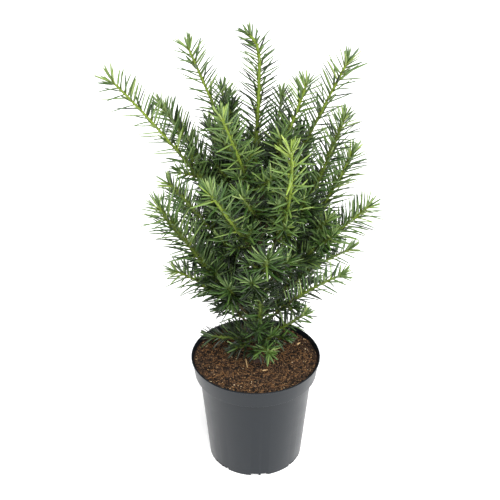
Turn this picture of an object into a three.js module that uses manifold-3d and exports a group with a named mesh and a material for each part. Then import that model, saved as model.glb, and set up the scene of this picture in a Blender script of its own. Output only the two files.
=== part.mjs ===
// A young English yew, grown as a pot plant, in its round plastic nursery pot.
//
// Units are millimetres and +Z is up. The origin is the centre of the pot's flat underside, and the
// plant's front is -Y. The plant has its own group, whose zero height is the flat cut under the trunk.
//
// Every shoot is laid out from a few sizes: the height at which it leaves the trunk, the direction in
// which it grows, how far it reaches and rises, and how it bends. Its older part is a bare bough. The
// rest is a mass of foliage: a three-sided stem with side twigs, whose needles are drawn out of the
// facets of the stem and twigs, so that they are one solid with them.

import * as THREE from 'three';
import { mergeVertices } from 'three/addons/utils/BufferGeometryUtils.js';
import Module from 'manifold-3d';

const wasm = await Module();
wasm.setup();

const CLEARANCE = 0.3;                  // gap between pieces that touch on the real plant
const DEGREE = Math.PI / 180;
const UP = new THREE.Vector3(0, 0, 1);

// ---------- pot ----------
const POT_HEIGHT = 155;
const POT_RIM_RADIUS = 85;              // a 17 cm pot
const POT_WALL = 1.3;
const POT_SEGMENTS = 36;
const FOOT_RADIUS = 62.5;
const FOOT_HEIGHT = 4.4;                // the floor stands this far above the ground
const FOOT_RING_INNER = 60.4;
const PAD_RADIUS = 14;                  // flat pad in the middle of the underside
const WALL_TOP_RADIUS = 74.5;           // the wall where the collar begins
const COLLAR_HEIGHT = 24.5;
const COLLAR_RADIUS = 80.6;             // the collar's lower edge
const LIP_HEIGHT = 2;
const LIP_OVERHANG = 1.3;
const POT_EDGE = 0.5;                   // how far the pot's edges are softened
const FOOT_EDGE = 0.6;
const PAD_SLOPE = 2;
const FOOT_COUNT = 7;
const FIRST_NOTCH_AZIMUTH = 275;        // the notch beside the front of the pot
const NOTCH_WIDTH = 10.3;               // each notch is two such cuts with a tooth between them
const NOTCH_DEPTH = 3.4;
const NOTCH_LENGTH = 14;                // along the radius, right through the foot ring
const TOOTH_WIDTH = 2.6;
const DRAIN_RADIUS = 4;
const DRAIN_CIRCLE = 47;
const DRAIN_SIDES = 8;

// ---------- soil ----------
const SOIL_LEVEL = 145;                 // height of the soil at the trunk
const SOIL_EDGE_RISE = 4.5;             // the soil is dished: it stands higher at the wall
const SOIL_FLAT_RADIUS = 16;            // level round the trunk's foot
const SOIL_LUMP = 1.1;
const SOIL_LARGE_PITCH = 31;            // between the larger lumps
const SOIL_SMALL_PITCH = 14;
const SOIL_SMALL_SHARE = 0.6;           // how high the smaller lumps are beside the larger
const SOIL_SEGMENTS = 24;
const SOIL_RINGS = [0.86, 0.68, 0.5, 0.32, 0.19];   // shares of its radius, from the edge inwards

// ---------- trunk and leader, heights above the flat cut ----------
const TRUNK_FOOT_RADIUS = 4.6;
const TRUNK_TIP_RADIUS = 1.9;
const ROOT_FLARE = 3.6;                 // how much wider the trunk is at the soil
const ROOT_FLARE_HEIGHT = 9;
const ROOT_RIDGES = 5;
const ROOT_RIDGE_DEPTH = 0.3;           // as a share of the flare
const TRUNK_SIDES = 10;
const TRUNK_STEPS = 20;
const TRUNK_PATH = new THREE.CatmullRomCurve3([
  new THREE.Vector3(2.5, 1.5, 0),
  new THREE.Vector3(4, 1, 75),
  new THREE.Vector3(5, 0, 170),
  new THREE.Vector3(2, 0, 225),
  new THREE.Vector3(0, 0, 255),
]);
const LEADER_PATH = new THREE.CatmullRomCurve3([
  new THREE.Vector3(0, 0, 255),
  new THREE.Vector3(0, 0, 318),
  new THREE.Vector3(2, 0, 365),
  new THREE.Vector3(3, 0, 400),
  new THREE.Vector3(3, -1, 427),
  new THREE.Vector3(-1, -2, 445),
  new THREE.Vector3(-9, -4, 457),       // the tip nods to the left
]);

// ---------- boughs and foliage ----------
const BOUGH_RADIUS = 2.3;
const BOUGH_ROOT_SHARE = 0.78;          // a bough is at most this share of the trunk it leaves
const BOUGH_SIDES = 5;
const BOUGH_STEPS = 4;
const BARE_SHARE = 0.22;                // the share of a shoot that is bare bough
const STEM_RADIUS = 1.35;               // where the bough passes into the foliage
const STEM_TIP_RADIUS = 0.85;
const STEM_CORNERS = [0, 120, 240];     // degrees round the stem from its upper side
const TWIG_RADIUS = 1.05;

const NEEDLE_STEP = 10;                 // between the rings of a stem; each facet carries a needle
const NEEDLE_LENGTH = 26;
const NEEDLE_ANGLE = 52;                // degrees between needle and stem
const NEEDLE_LIFT = 0.2;                // how much the needles turn up
const NEEDLE_LENGTH_LOOSENESS = 0.07;
const NEEDLE_ANGLE_LOOSENESS = 5;
const NEEDLE_CUTS = [1, 0.8, 0.6];      // a needle short of room is tried at these shares of its length
const TUFT_LENGTH = 26;                 // the tuft at the tip of each stem
const TUFT_ANGLE = 24;
const TUFT_SHORTENING = 0.25;
const BUD_LENGTH = 13;
const OWN_SPACE_MARGIN = 1.6;           // a needle stays this much nearer to its own stem
const LIMB_MARGIN = 1.6;                // and this far from every bare limb
const RIM_MARGIN = 3;                   // and this far inside the pot's rim
const SOIL_MARGIN = 1;
const AXIS_SAMPLE = 4;

const TWIG_START = 10;                  // the first side twig, from the foot of the stem
const TWIG_SPACING = 38;
const TWIG_SPACING_LOOSENESS = 0.15;
const TWIG_ZONE = 0.42;                 // the older share of a stem, which bears side twigs
const TWIG_SIDE = 78;                   // degrees round the stem from its upper side
const TWIG_SIDE_LOOSENESS = 14;
const TWIG_ANGLE = 46;                  // degrees between twig and stem
const TWIG_SHARE = 0.45;                // of what is left of the stem beyond the twig
const TWIG_SHARE_LOOSENESS = 0.12;
const TWIG_LONGEST = 62;
const TWIG_SHORTEST = 24;
const TWIG_STRAIGHT = 0.5;              // a twig is straight this far, and then turns
const TWIG_ONWARD = 0.4;
const TWIG_FORWARD = 0.14;              // towards the stem's own direction
const TWIG_UPWARD = 0.06;
const TWIG_SAMPLES = 6;
const TWIG_ROOM = 12;                   // a side twig keeps this far from every other stem
const ROOT_ROOM = 18;                   // except this close to its own root

// The six facets between two rings of a stem, which are three corners each: the corners of each facet,
// the angle from the stem's upper side at which its needle stands, and how loosely it does.
const FACETS = [
  { corners: [0, 1, 3], angle: 38, looseness: 8 },
  { corners: [1, 4, 3], angle: 84, looseness: 8 },
  { corners: [1, 2, 4], angle: 148, looseness: 10 },
  { corners: [2, 5, 4], angle: 212, looseness: 10 },
  { corners: [2, 0, 5], angle: 276, looseness: 8 },
  { corners: [0, 3, 5], angle: 322, looseness: 8 },
];

// Azimuth is 0 to the right, 90 to the back, 180 to the left and 270 to the front. The shoot leaves
// the trunk at a height, reaches out and rises from there. Its middle hangs below the straight line
// by dip, and swings to its own left by swing, both as shares of its length. A shoot with bare: 0 has
// needles down to the trunk and so no bough, one with a zone of its own has fewer side twigs or none,
// and one with a lift of its own has needles that turn up less, or droop.
const SHOOTS = [
  {
    name: 'left_long', height: 155, azimuth: 175, reach: 175, rise: 236, dip: -0.07, swing: -0.03,
    zone: 0.3,
  },
  { name: 'left_second', height: 165, azimuth: 155, reach: 134, rise: 178, dip: 0.03, swing: -0.06 },
  { name: 'left_tall', height: 240, azimuth: 160, reach: 86, rise: 188, dip: 0.13, swing: -0.09 },
  { name: 'left_middle', height: 125, azimuth: 185, reach: 111, rise: 145, dip: 0, swing: 0 },
  { name: 'left_wide', height: 54, azimuth: 204, reach: 130, rise: 205, dip: 0.03, swing: 0, lift: 0 },
  {
    name: 'left_low', height: 40, azimuth: 194, reach: 106, rise: 114, dip: -0.15, swing: -0.06,
    lift: -0.2,
  },
  { name: 'right_tall', height: 230, azimuth: 351, reach: 57, rise: 168, dip: 0.02, swing: -0.13 },
  {
    name: 'right_long', height: 185, azimuth: 20, reach: 109, rise: 220, dip: 0.1, swing: 0.11,
    zone: 0.22,
  },
  { name: 'right_high', height: 137, azimuth: 341, reach: 101, rise: 228, dip: 0.19, swing: 0.08 },
  { name: 'right_middle', height: 94, azimuth: 19, reach: 121, rise: 192, dip: 0.115, swing: 0 },
  { name: 'right_wide', height: 116, azimuth: 2, reach: 135, rise: 115, dip: 0.06, swing: 0.02 },
  { name: 'right_low', height: 70, azimuth: 15, reach: 123, rise: 82, dip: -0.12, swing: 0.08, zone: 0 },
  { name: 'right_lower', height: 50, azimuth: 340, reach: 109, rise: 106, dip: -0.12, swing: 0, zone: 0 },
  { name: 'front_tall', height: 222, azimuth: 240, reach: 83, rise: 162, dip: 0.08, swing: 0.07 },
  {
    name: 'front_right', height: 146, azimuth: 288, reach: 104, rise: 209, dip: 0.03, swing: 0.13,
    zone: 0,
  },
  {
    name: 'front_left', height: 152, azimuth: 241, reach: 118, rise: 152, dip: 0.07, swing: 0.07,
    zone: 0,
  },
  { name: 'front_high', height: 206, azimuth: 257, reach: 86, rise: 84, dip: 0.05, swing: 0.05, zone: 0 },
  { name: 'front_middle', height: 134, azimuth: 274, reach: 112, rise: 90, dip: 0.06, swing: 0 },
  { name: 'front_low', height: 112, azimuth: 264, reach: 100, rise: 73, dip: 0.05, swing: 0 },
  { name: 'back_left_tall', height: 205, azimuth: 116, reach: 87, rise: 138, dip: 0.15, swing: 0.1 },
  { name: 'back_right_tall', height: 200, azimuth: 68, reach: 76, rise: 149, dip: 0.14, swing: 0.02 },
  { name: 'back_left_middle', height: 145, azimuth: 123, reach: 119, rise: 154, dip: 0.09, swing: 0.02 },
  { name: 'back_right_middle', height: 128, azimuth: 61, reach: 132, rise: 132, dip: 0.1, swing: -0.04 },
  {
    name: 'back_left_low', height: 90, azimuth: 148, reach: 128, rise: 125, dip: 0.06, swing: 0.05,
    bare: 0,
  },
  { name: 'back_middle', height: 95, azimuth: 92, reach: 138, rise: 112, dip: 0.05, swing: 0.04 },
  { name: 'back_high', height: 170, azimuth: 92, reach: 108, rise: 98, dip: 0.06, swing: 0, bare: 0 },
  {
    name: 'back_right_low', height: 62, azimuth: 42, reach: 116, rise: 62, dip: -0.05, swing: 0,
    bare: 0, zone: 0,
  },
  {
    name: 'back_low', height: 48, azimuth: 112, reach: 104, rise: 62, dip: -0.05, swing: 0,
    bare: 0, zone: 0,
  },
  {
    name: 'front_foot', height: 27, azimuth: 274, reach: 44, rise: 112, dip: 0.11, swing: 0,
    bare: 0, zone: 0,
  },
  { name: 'right_foot', height: 27, azimuth: 340, reach: 63, rise: 60, dip: 0, swing: 0.04, bare: 0 },
  {
    name: 'left_foot', height: 28, azimuth: 171, reach: 62, rise: 2, dip: -0.08, swing: 0,
    bare: 0, lift: -0.5,
  },
  {
    name: 'front_drooping', height: 22, azimuth: 287, reach: 47, rise: 21, dip: -0.05, swing: 0,
    bare: 0, lift: -0.3,
  },
];
const BRIGHT_SHOOTS = ['front_tall', 'front_right', 'front_left', 'right_tall', 'leader'];
const FIRST_SEED = 1000;                // each stem draws from a seed of its own
const SEED_STEP = 37;

// ---------- materials ----------
function finish(color, roughness) {
  return new THREE.MeshStandardMaterial({ color, roughness, metalness: 0 });
}
const POT_FINISH = finish(0x4a4d51, 0.45);
const SOIL_FINISH = finish(0x4b3425, 0.95);
const TRUNK_FINISH = finish(0x6a4b33, 0.9);
const BOUGH_FINISH = finish(0x70693a, 0.85);
const DEEP_FOLIAGE_FINISH = finish(0x355b3c, 0.6);
const BRIGHT_FOLIAGE_FINISH = finish(0x5f8f3c, 0.6);

// ---------- seeded draws ----------
function seededDraws(seed) {
  let state = seed >>> 0;
  return () => {
    state = (Math.imul(state, 1664525) + 1013904223) >>> 0;
    return state / 4294967296;
  };
}

function spread(draw, amount) {
  return (draw() * 2 - 1) * amount;
}

// ---------- solids ----------
function solidOf(geometry) {
  const bare = geometry.clone();
  bare.deleteAttribute('normal');
  bare.deleteAttribute('uv');
  const merged = mergeVertices(bare, 1e-3);
  return new wasm.Manifold(new wasm.Mesh({
    numProp: 3,
    vertProperties: new Float32Array(merged.attributes.position.array),
    triVerts: new Uint32Array(merged.index.array),
  }));
}

function geometryOf(solid) {
  const mesh = solid.getMesh();
  const geometry = new THREE.BufferGeometry();
  geometry.setAttribute('position', new THREE.BufferAttribute(mesh.vertProperties, 3));
  geometry.setIndex(new THREE.BufferAttribute(mesh.triVerts, 1));
  geometry.computeVertexNormals();
  return geometry;
}

function addPiece(parent, name, geometry, material) {
  const piece = new THREE.Mesh(geometry, material);
  piece.name = name;
  parent.add(piece);
}

// ---------- frames and limbs along a curve ----------
// At a share of the curve: the direction along it, its upper side, which faces the sky or the trunk,
// and the level direction across it.
function frameAt(path, share, outward) {
  const along = path.getTangentAt(share);
  const level = Math.sqrt(Math.max(0, 1 - along.z * along.z));
  const upper = outward.clone().multiplyScalar(-along.z).addScaledVector(UP, level);
  upper.addScaledVector(along, -upper.dot(along)).normalize();
  const across = new THREE.Vector3().crossVectors(along, upper);
  return { centre: path.getPointAt(share), along, upper, across };
}

function radial(frame, angle) {
  const upward = frame.upper.clone().multiplyScalar(Math.cos(angle));
  return upward.addScaledVector(frame.across, Math.sin(angle));
}

// A closed tapering limb between two shares of a curve: a cylinder bent along it.
function limbGeometry(path, outward, from, to, radiusAt, sides, steps) {
  const limb = new THREE.CylinderGeometry(1, 1, 1, sides, steps);
  const spots = limb.attributes.position;
  const spot = new THREE.Vector3();
  for (let index = 0; index < spots.count; index += 1) {
    spot.fromBufferAttribute(spots, index);
    const share = from + (to - from) * (spot.y + 0.5);
    const frame = frameAt(path, share, outward);
    const angle = Math.atan2(spot.x, spot.z);
    const radius = radiusAt(share, angle) * Math.hypot(spot.x, spot.z);
    const placed = frame.centre.addScaledVector(radial(frame, angle), radius);
    spots.setXYZ(index, placed.x, placed.y, placed.z);
  }
  return limb;
}

// ---------- pot and soil ----------
function potInnerRadius(height) {
  const collarFoot = POT_HEIGHT - COLLAR_HEIGHT;
  if (height < collarFoot) {
    return THREE.MathUtils.mapLinear(height, 0, collarFoot, FOOT_RADIUS, WALL_TOP_RADIUS) - POT_WALL;
  }
  const lipFoot = POT_HEIGHT - LIP_HEIGHT;
  const lipRadius = POT_RIM_RADIUS - LIP_OVERHANG;
  return THREE.MathUtils.mapLinear(height, collarFoot, lipFoot, COLLAR_RADIUS, lipRadius) - POT_WALL;
}

function latheAboutZ(profile, segments) {
  const points = profile.map(([radius, height]) => new THREE.Vector2(radius, height));
  return new THREE.LatheGeometry(points, segments).rotateX(Math.PI / 2);
}

function potGeometry() {
  const collarFoot = POT_HEIGHT - COLLAR_HEIGHT;
  const lipFoot = POT_HEIGHT - LIP_HEIGHT;
  const floorTop = FOOT_HEIGHT + POT_WALL;
  const shell = latheAboutZ([
    [0, 0],
    [PAD_RADIUS, 0],
    [PAD_RADIUS + PAD_SLOPE, FOOT_HEIGHT],
    [FOOT_RING_INNER - FOOT_EDGE, FOOT_HEIGHT],
    [FOOT_RING_INNER, 0],
    [FOOT_RADIUS - FOOT_EDGE, 0],
    [FOOT_RADIUS, FOOT_EDGE],
    [WALL_TOP_RADIUS, collarFoot - POT_EDGE],
    [COLLAR_RADIUS, collarFoot],
    [POT_RIM_RADIUS - LIP_OVERHANG, lipFoot],
    [POT_RIM_RADIUS, lipFoot + POT_EDGE],
    [POT_RIM_RADIUS, POT_HEIGHT],
    [POT_RIM_RADIUS - LIP_OVERHANG - POT_WALL + POT_EDGE, POT_HEIGHT],
    [potInnerRadius(lipFoot), lipFoot - POT_EDGE],
    [potInnerRadius(collarFoot), collarFoot + POT_WALL],
    [potInnerRadius(collarFoot - POT_EDGE), collarFoot + POT_WALL - POT_EDGE],
    [potInnerRadius(floorTop), floorTop],
    [0, floorTop],
  ], POT_SEGMENTS);
  let solid = solidOf(shell);
  const notch = new THREE.BoxGeometry(NOTCH_LENGTH, NOTCH_WIDTH, 2 * NOTCH_DEPTH);
  const drain = new THREE.CylinderGeometry(DRAIN_RADIUS, DRAIN_RADIUS, 4 * FOOT_HEIGHT, DRAIN_SIDES);
  drain.rotateX(Math.PI / 2);
  for (let foot = 0; foot < FOOT_COUNT; foot += 1) {
    const turn = (FIRST_NOTCH_AZIMUTH + foot * 360 / FOOT_COUNT) * DEGREE;
    for (const side of [-1, 1]) {
      const shift = side * (TOOTH_WIDTH + NOTCH_WIDTH) / 2;
      const cut = notch.clone().translate((FOOT_RING_INNER + FOOT_RADIUS) / 2, shift, 0).rotateZ(turn);
      solid = solid.subtract(solidOf(cut));
    }
    solid = solid.subtract(solidOf(drain.clone().translate(DRAIN_CIRCLE, 0, 0).rotateZ(turn)));
  }
  return geometryOf(solid);
}

function ripple(x, y, pitch) {
  const turn = 2 * Math.PI / pitch;
  return Math.sin(turn * (x + 0.3 * y)) * Math.cos(turn * (y - 0.3 * x));
}

function soilLump(x, y) {
  const away = THREE.MathUtils.smoothstep(Math.hypot(x, y), SOIL_FLAT_RADIUS, 2 * SOIL_FLAT_RADIUS);
  const lumps = ripple(x, y, SOIL_LARGE_PITCH) + SOIL_SMALL_SHARE * ripple(x, y, SOIL_SMALL_PITCH);
  return away * SOIL_LUMP * lumps;
}

// How far the soil reaches at a height, inside the flats of the faceted pot.
function soilRadius(height) {
  return potInnerRadius(height) * Math.cos(Math.PI / POT_SEGMENTS) - CLEARANCE;
}

// How high the soil stands above its level middle, without its lumps.
function soilRise(radius) {
  const edgeRadius = soilRadius(SOIL_LEVEL + SOIL_EDGE_RISE);
  const share = Math.max(0, radius - SOIL_FLAT_RADIUS) / (edgeRadius - SOIL_FLAT_RADIUS);
  return SOIL_EDGE_RISE * share * share;
}

function soilGeometry() {
  const collarFoot = POT_HEIGHT - COLLAR_HEIGHT;
  const bottom = FOOT_HEIGHT + POT_WALL + CLEARANCE;
  const shoulder = collarFoot + POT_WALL + 2 * CLEARANCE;
  const edge = SOIL_LEVEL + SOIL_EDGE_RISE;
  const profile = [
    [0, bottom],
    [soilRadius(bottom), bottom],
    [soilRadius(collarFoot - POT_EDGE), shoulder],
    [soilRadius(shoulder), shoulder],
    [soilRadius(edge), edge],
  ];
  for (const share of SOIL_RINGS) {
    const radius = share * soilRadius(edge);
    profile.push([radius, SOIL_LEVEL + soilRise(radius)]);
  }
  profile.push([0, SOIL_LEVEL]);
  const soil = latheAboutZ(profile, SOIL_SEGMENTS);
  const spots = soil.attributes.position;
  for (let index = 0; index < spots.count; index += 1) {
    const height = spots.getZ(index);
    if (height > shoulder + CLEARANCE && height < edge - CLEARANCE) {
      const lift = soilLump(spots.getX(index), spots.getY(index));
      spots.setZ(index, height + lift);
    }
  }
  return geometryOf(solidOf(soil));
}

// ---------- trunk ----------
const TRUNK_HEIGHT = TRUNK_PATH.points.at(-1).z;
const FRONT = new THREE.Vector3(0, -1, 0);

function trunkRadius(share, angle) {
  const height = share * TRUNK_HEIGHT;
  const taper = THREE.MathUtils.lerp(TRUNK_FOOT_RADIUS, TRUNK_TIP_RADIUS, share);
  const flare = ROOT_FLARE * Math.exp(-height / ROOT_FLARE_HEIGHT);
  return taper + flare * (1 + ROOT_RIDGE_DEPTH * Math.cos(ROOT_RIDGES * angle));
}

function trunkGeometry(growth) {
  const radiusAt = (share, angle) => trunkRadius(share, angle) + growth;
  return limbGeometry(TRUNK_PATH, FRONT, 0, 1, radiusAt, TRUNK_SIDES, TRUNK_STEPS);
}

// ---------- shoots ----------
function outwardOf(azimuth) {
  return new THREE.Vector3(Math.cos(azimuth * DEGREE), Math.sin(azimuth * DEGREE), 0);
}

function shootPath(shoot) {
  const start = TRUNK_PATH.getPointAt(shoot.height / TRUNK_HEIGHT);
  const outward = outwardOf(shoot.azimuth);
  const tip = start.clone().addScaledVector(outward, shoot.reach).addScaledVector(UP, shoot.rise);
  const length = start.distanceTo(tip);
  const left = new THREE.Vector3().crossVectors(UP, outward);
  const bend = start.clone().lerp(tip, 0.5);
  bend.addScaledVector(UP, -shoot.dip * length).addScaledVector(left, shoot.swing * length);
  return new THREE.QuadraticBezierCurve3(start, bend, tip);
}

// A part of a curve, as a curve of its own.
class CurvePart extends THREE.Curve {
  constructor(whole, from, to) {
    super();
    this.whole = whole;
    this.from = from;
    this.to = to;
  }

  getPoint(share, target = new THREE.Vector3()) {
    return target.copy(this.whole.getPointAt(this.from + (this.to - this.from) * share));
  }
}

// Every stem, bough and the trunk is also held as a row of points along its middle, so that the room
// between them can be measured.
const axes = [];

function addAxis(path, radius, owner) {
  const count = Math.ceil(path.getLength() / AXIS_SAMPLE);
  const axis = { points: path.getSpacedPoints(count), radius, owner };
  axes.push(axis);
  return axis;
}

function distanceToAxis(point, axis) {
  return Math.sqrt(Math.min(...axis.points.map((other) => point.distanceToSquared(other))));
}

// True where the point is well inside the pot's rim and above the soil, or above the rim.
function clearOfPot(point) {
  const radius = Math.hypot(point.x, point.y);
  const inside = radius < potInnerRadius(POT_HEIGHT) - RIM_MARGIN;
  const highestLump = SOIL_LUMP * (1 + SOIL_SMALL_SHARE);
  const floor = inside ? soilRise(radius) + highestLump : POT_HEIGHT - SOIL_LEVEL;
  return point.z > floor + SOIL_MARGIN;
}

// True where the point is nearer to its own axis than to any other stem, and off every limb.
function inOwnSpace(point, own) {
  const reach = distanceToAxis(point, own) + OWN_SPACE_MARGIN;
  return axes.every((axis) => {
    if (axis === own) {
      return true;
    }
    const distance = distanceToAxis(point, axis);
    return axis.owner === 'limb' ? distance > axis.radius + LIMB_MARGIN : distance > reach;
  });
}

// The needle's tip for one facet of a stem, or null where no needle fits there.
function needleTip(root, frame, angle, tilt, length, lift, own) {
  const direction = frame.along.clone().multiplyScalar(Math.cos(tilt * DEGREE));
  direction.addScaledVector(radial(frame, angle * DEGREE), Math.sin(tilt * DEGREE));
  direction.addScaledVector(UP, lift).normalize();
  for (const cut of NEEDLE_CUTS) {
    const tip = root.clone().addScaledVector(direction, length * cut);
    const middle = root.clone().lerp(tip, 0.5);
    if (clearOfPot(tip) && clearOfPot(middle) && inOwnSpace(tip, own) && inOwnSpace(middle, own)) {
      return tip;
    }
  }
  return null;
}

// A stem of three-sided section with its needles, each of which is one of the stem's facets drawn out
// to a point. A facet stays flat where its needle would leave the stem's own space.
function sprayGeometry(spray, startRadius, bareLength, draw) {
  const { path, outward, axis, lift } = spray;
  const length = path.getLength();
  const rings = Math.max(3, Math.round(length / NEEDLE_STEP));
  const spots = [];
  const triangles = [];
  for (let ring = 0; ring <= rings; ring += 1) {
    const frame = frameAt(path, ring / rings, outward);
    const radius = THREE.MathUtils.lerp(startRadius, STEM_TIP_RADIUS, ring / rings);
    for (const angle of STEM_CORNERS) {
      spots.push(frame.centre.clone().addScaledVector(radial(frame, angle * DEGREE), radius));
    }
  }
  const drawOut = (corners, tip) => {
    const [a, b, c] = corners;
    const point = spots.push(tip) - 1;
    triangles.push(a, b, point, b, c, point, c, a, point);
  };
  for (let ring = 0; ring < rings; ring += 1) {
    const frame = frameAt(path, (ring + 0.5) / rings, outward);
    const passed = ring * length / rings;
    const tuft = THREE.MathUtils.smoothstep(passed, length - TUFT_LENGTH, length);
    for (const facet of FACETS) {
      const corners = facet.corners.map((corner) => 3 * ring + corner);
      const root = new THREE.Vector3();
      corners.forEach((corner) => root.addScaledVector(spots[corner], 1 / 3));
      const angle = facet.angle + spread(draw, facet.looseness);
      const straightTilt = THREE.MathUtils.lerp(NEEDLE_ANGLE, TUFT_ANGLE, tuft);
      const tilt = straightTilt + spread(draw, NEEDLE_ANGLE_LOOSENESS);
      const fullLength = NEEDLE_LENGTH * (1 + spread(draw, NEEDLE_LENGTH_LOOSENESS));
      const size = fullLength * (1 - TUFT_SHORTENING * tuft);
      const tip = passed < bareLength ? null : needleTip(root, frame, angle, tilt, size, lift, axis);
      if (tip) {
        drawOut(corners, tip);
      } else {
        triangles.push(...corners);
      }
    }
  }
  triangles.push(0, 2, 1);
  const end = frameAt(path, 1, outward);
  drawOut([3 * rings, 3 * rings + 1, 3 * rings + 2], end.centre.addScaledVector(end.along, BUD_LENGTH));
  const geometry = new THREE.BufferGeometry().setFromPoints(spots);
  geometry.setIndex(triangles);
  return geometry;
}

function twigPath(frame, side, size) {
  const heading = frame.along.clone().multiplyScalar(Math.cos(TWIG_ANGLE * DEGREE));
  heading.addScaledVector(radial(frame, side), Math.sin(TWIG_ANGLE * DEGREE));
  const bend = frame.centre.clone().addScaledVector(heading, TWIG_STRAIGHT * size);
  const tip = bend.clone().addScaledVector(heading, TWIG_ONWARD * size);
  tip.addScaledVector(frame.along, TWIG_FORWARD * size).addScaledVector(UP, TWIG_UPWARD * size);
  return new THREE.QuadraticBezierCurve3(frame.centre, bend, tip);
}

function hasRoom(path, stem) {
  const root = path.getPointAt(0);
  const points = path.getSpacedPoints(TWIG_SAMPLES);
  const samples = points.filter((point) => point.distanceTo(root) > ROOT_ROOM);
  return samples.every((point) => clearOfPot(point)
    && axes.every((axis) => axis === stem.axis || distanceToAxis(point, axis) > TWIG_ROOM));
}

// The side twigs of a stem: one every TWIG_SPACING, left and right in turn, kept where there is room.
function sideTwigs(stem, draw) {
  const length = stem.path.getLength();
  const twigs = [];
  let hand = draw() < 0.5 ? -1 : 1;
  let at = TWIG_START;
  while (at < stem.twigZone * length) {
    hand = -hand;
    const frame = frameAt(stem.path, at / length, stem.outward);
    const side = hand * (TWIG_SIDE + spread(draw, TWIG_SIDE_LOOSENESS)) * DEGREE;
    const share = TWIG_SHARE * (1 + spread(draw, TWIG_SHARE_LOOSENESS));
    const size = Math.min(TWIG_LONGEST, share * (length - at));
    const path = twigPath(frame, side, size);
    if (size > TWIG_SHORTEST && hasRoom(path, stem)) {
      const heading = path.getTangentAt(0);
      const outward = new THREE.Vector3(heading.x, heading.y, 0).normalize();
      twigs.push({ path, outward, lift: stem.lift, axis: addAxis(path, TWIG_RADIUS, 'foliage') });
    }
    at += TWIG_SPACING * (1 + spread(draw, TWIG_SPACING_LOOSENESS));
  }
  return twigs;
}

function boughRadius(shoot, share, bare) {
  const trunkHere = trunkRadius(shoot.height / TRUNK_HEIGHT, 0);
  const rootRadius = Math.min(BOUGH_RADIUS, BOUGH_ROOT_SHARE * trunkHere);
  return THREE.MathUtils.lerp(rootRadius, STEM_RADIUS, share / bare);
}

// ---------- the plant ----------
function growPlant() {
  const plant = new THREE.Group();
  addPiece(plant, 'trunk', geometryOf(solidOf(trunkGeometry(0))), TRUNK_FINISH);
  const roundTrunk = solidOf(trunkGeometry(CLEARANCE));
  addAxis(TRUNK_PATH, TRUNK_FOOT_RADIUS, 'limb');

  const stems = [];
  const leaderPart = new CurvePart(LEADER_PATH, CLEARANCE / LEADER_PATH.getLength(), 1);
  stems.push({
    name: 'leader', path: leaderPart, outward: FRONT, radius: TRUNK_TIP_RADIUS, bareLength: 0,
    lift: NEEDLE_LIFT, twigZone: 0,
  });
  for (const shoot of SHOOTS) {
    const whole = shootPath(shoot);
    const outward = outwardOf(shoot.azimuth);
    const bare = shoot.bare ?? BARE_SHARE;
    if (bare > 0) {
      const radiusAt = (share) => boughRadius(shoot, share, bare);
      const bough = limbGeometry(whole, outward, 0, bare, radiusAt, BOUGH_SIDES, BOUGH_STEPS);
      const cutBough = solidOf(bough).subtract(roundTrunk);
      addPiece(plant, `bough_${shoot.name}`, geometryOf(cutBough), BOUGH_FINISH);
      addAxis(new CurvePart(whole, 0, bare), BOUGH_RADIUS, 'limb');
    }
    const from = bare > 0 ? bare + CLEARANCE / whole.getLength() : 0;
    const bareLength = bare > 0 ? 0 : 2 * TRUNK_FOOT_RADIUS;
    stems.push({
      name: shoot.name, path: new CurvePart(whole, from, 1), outward, radius: STEM_RADIUS, bareLength,
      lift: shoot.lift ?? NEEDLE_LIFT, twigZone: shoot.zone ?? TWIG_ZONE,
    });
  }
  for (const stem of stems) {
    stem.axis = addAxis(stem.path, STEM_RADIUS, 'foliage');
  }
  stems.forEach((stem, index) => {
    stem.draw = seededDraws(FIRST_SEED + SEED_STEP * index);
    stem.twigs = sideTwigs(stem, stem.draw);
  });
  for (const stem of stems) {
    let mass = solidOf(sprayGeometry(stem, stem.radius, stem.bareLength, stem.draw));
    for (const twig of stem.twigs) {
      mass = mass.add(solidOf(sprayGeometry(twig, TWIG_RADIUS, 2 * STEM_RADIUS, stem.draw)));
    }
    mass = mass.subtract(roundTrunk);
    const material = BRIGHT_SHOOTS.includes(stem.name) ? BRIGHT_FOLIAGE_FINISH : DEEP_FOLIAGE_FINISH;
    addPiece(plant, `needles_${stem.name}`, geometryOf(mass), material);
  }
  return plant;
}

const yew = new THREE.Group();
addPiece(yew, 'pot', potGeometry(), POT_FINISH);
addPiece(yew, 'soil', soilGeometry(), SOIL_FINISH);
const plant = growPlant();
plant.position.z = SOIL_LEVEL + CLEARANCE;
yew.add(plant);

export default yew;
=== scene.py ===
"""A young English yew in its nursery pot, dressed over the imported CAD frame.

The plant grows here by the same table of shoots and the same seeded rule as its solids, and is then
carried on to finer twigs and real needles. Lengths are millimetres until a mesh is made, and +Z is up.
"""
import itertools
import math
from collections import namedtuple

import bpy
import numpy as np
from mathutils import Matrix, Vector, noise


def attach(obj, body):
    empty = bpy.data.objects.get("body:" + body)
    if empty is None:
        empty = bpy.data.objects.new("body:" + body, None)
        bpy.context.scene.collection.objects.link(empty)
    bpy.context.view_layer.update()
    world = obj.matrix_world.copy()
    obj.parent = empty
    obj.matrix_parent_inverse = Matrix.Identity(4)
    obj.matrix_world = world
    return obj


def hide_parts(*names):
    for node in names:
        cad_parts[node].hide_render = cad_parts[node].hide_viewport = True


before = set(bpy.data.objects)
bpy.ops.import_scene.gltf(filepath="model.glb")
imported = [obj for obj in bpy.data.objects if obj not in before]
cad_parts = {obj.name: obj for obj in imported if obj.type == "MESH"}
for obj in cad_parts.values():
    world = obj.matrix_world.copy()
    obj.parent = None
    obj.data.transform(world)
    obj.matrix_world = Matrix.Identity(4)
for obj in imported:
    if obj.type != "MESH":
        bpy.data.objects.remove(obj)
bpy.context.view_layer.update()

MILLIMETRE = 0.001  # in metres
DEGREE = math.pi / 180
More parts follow.
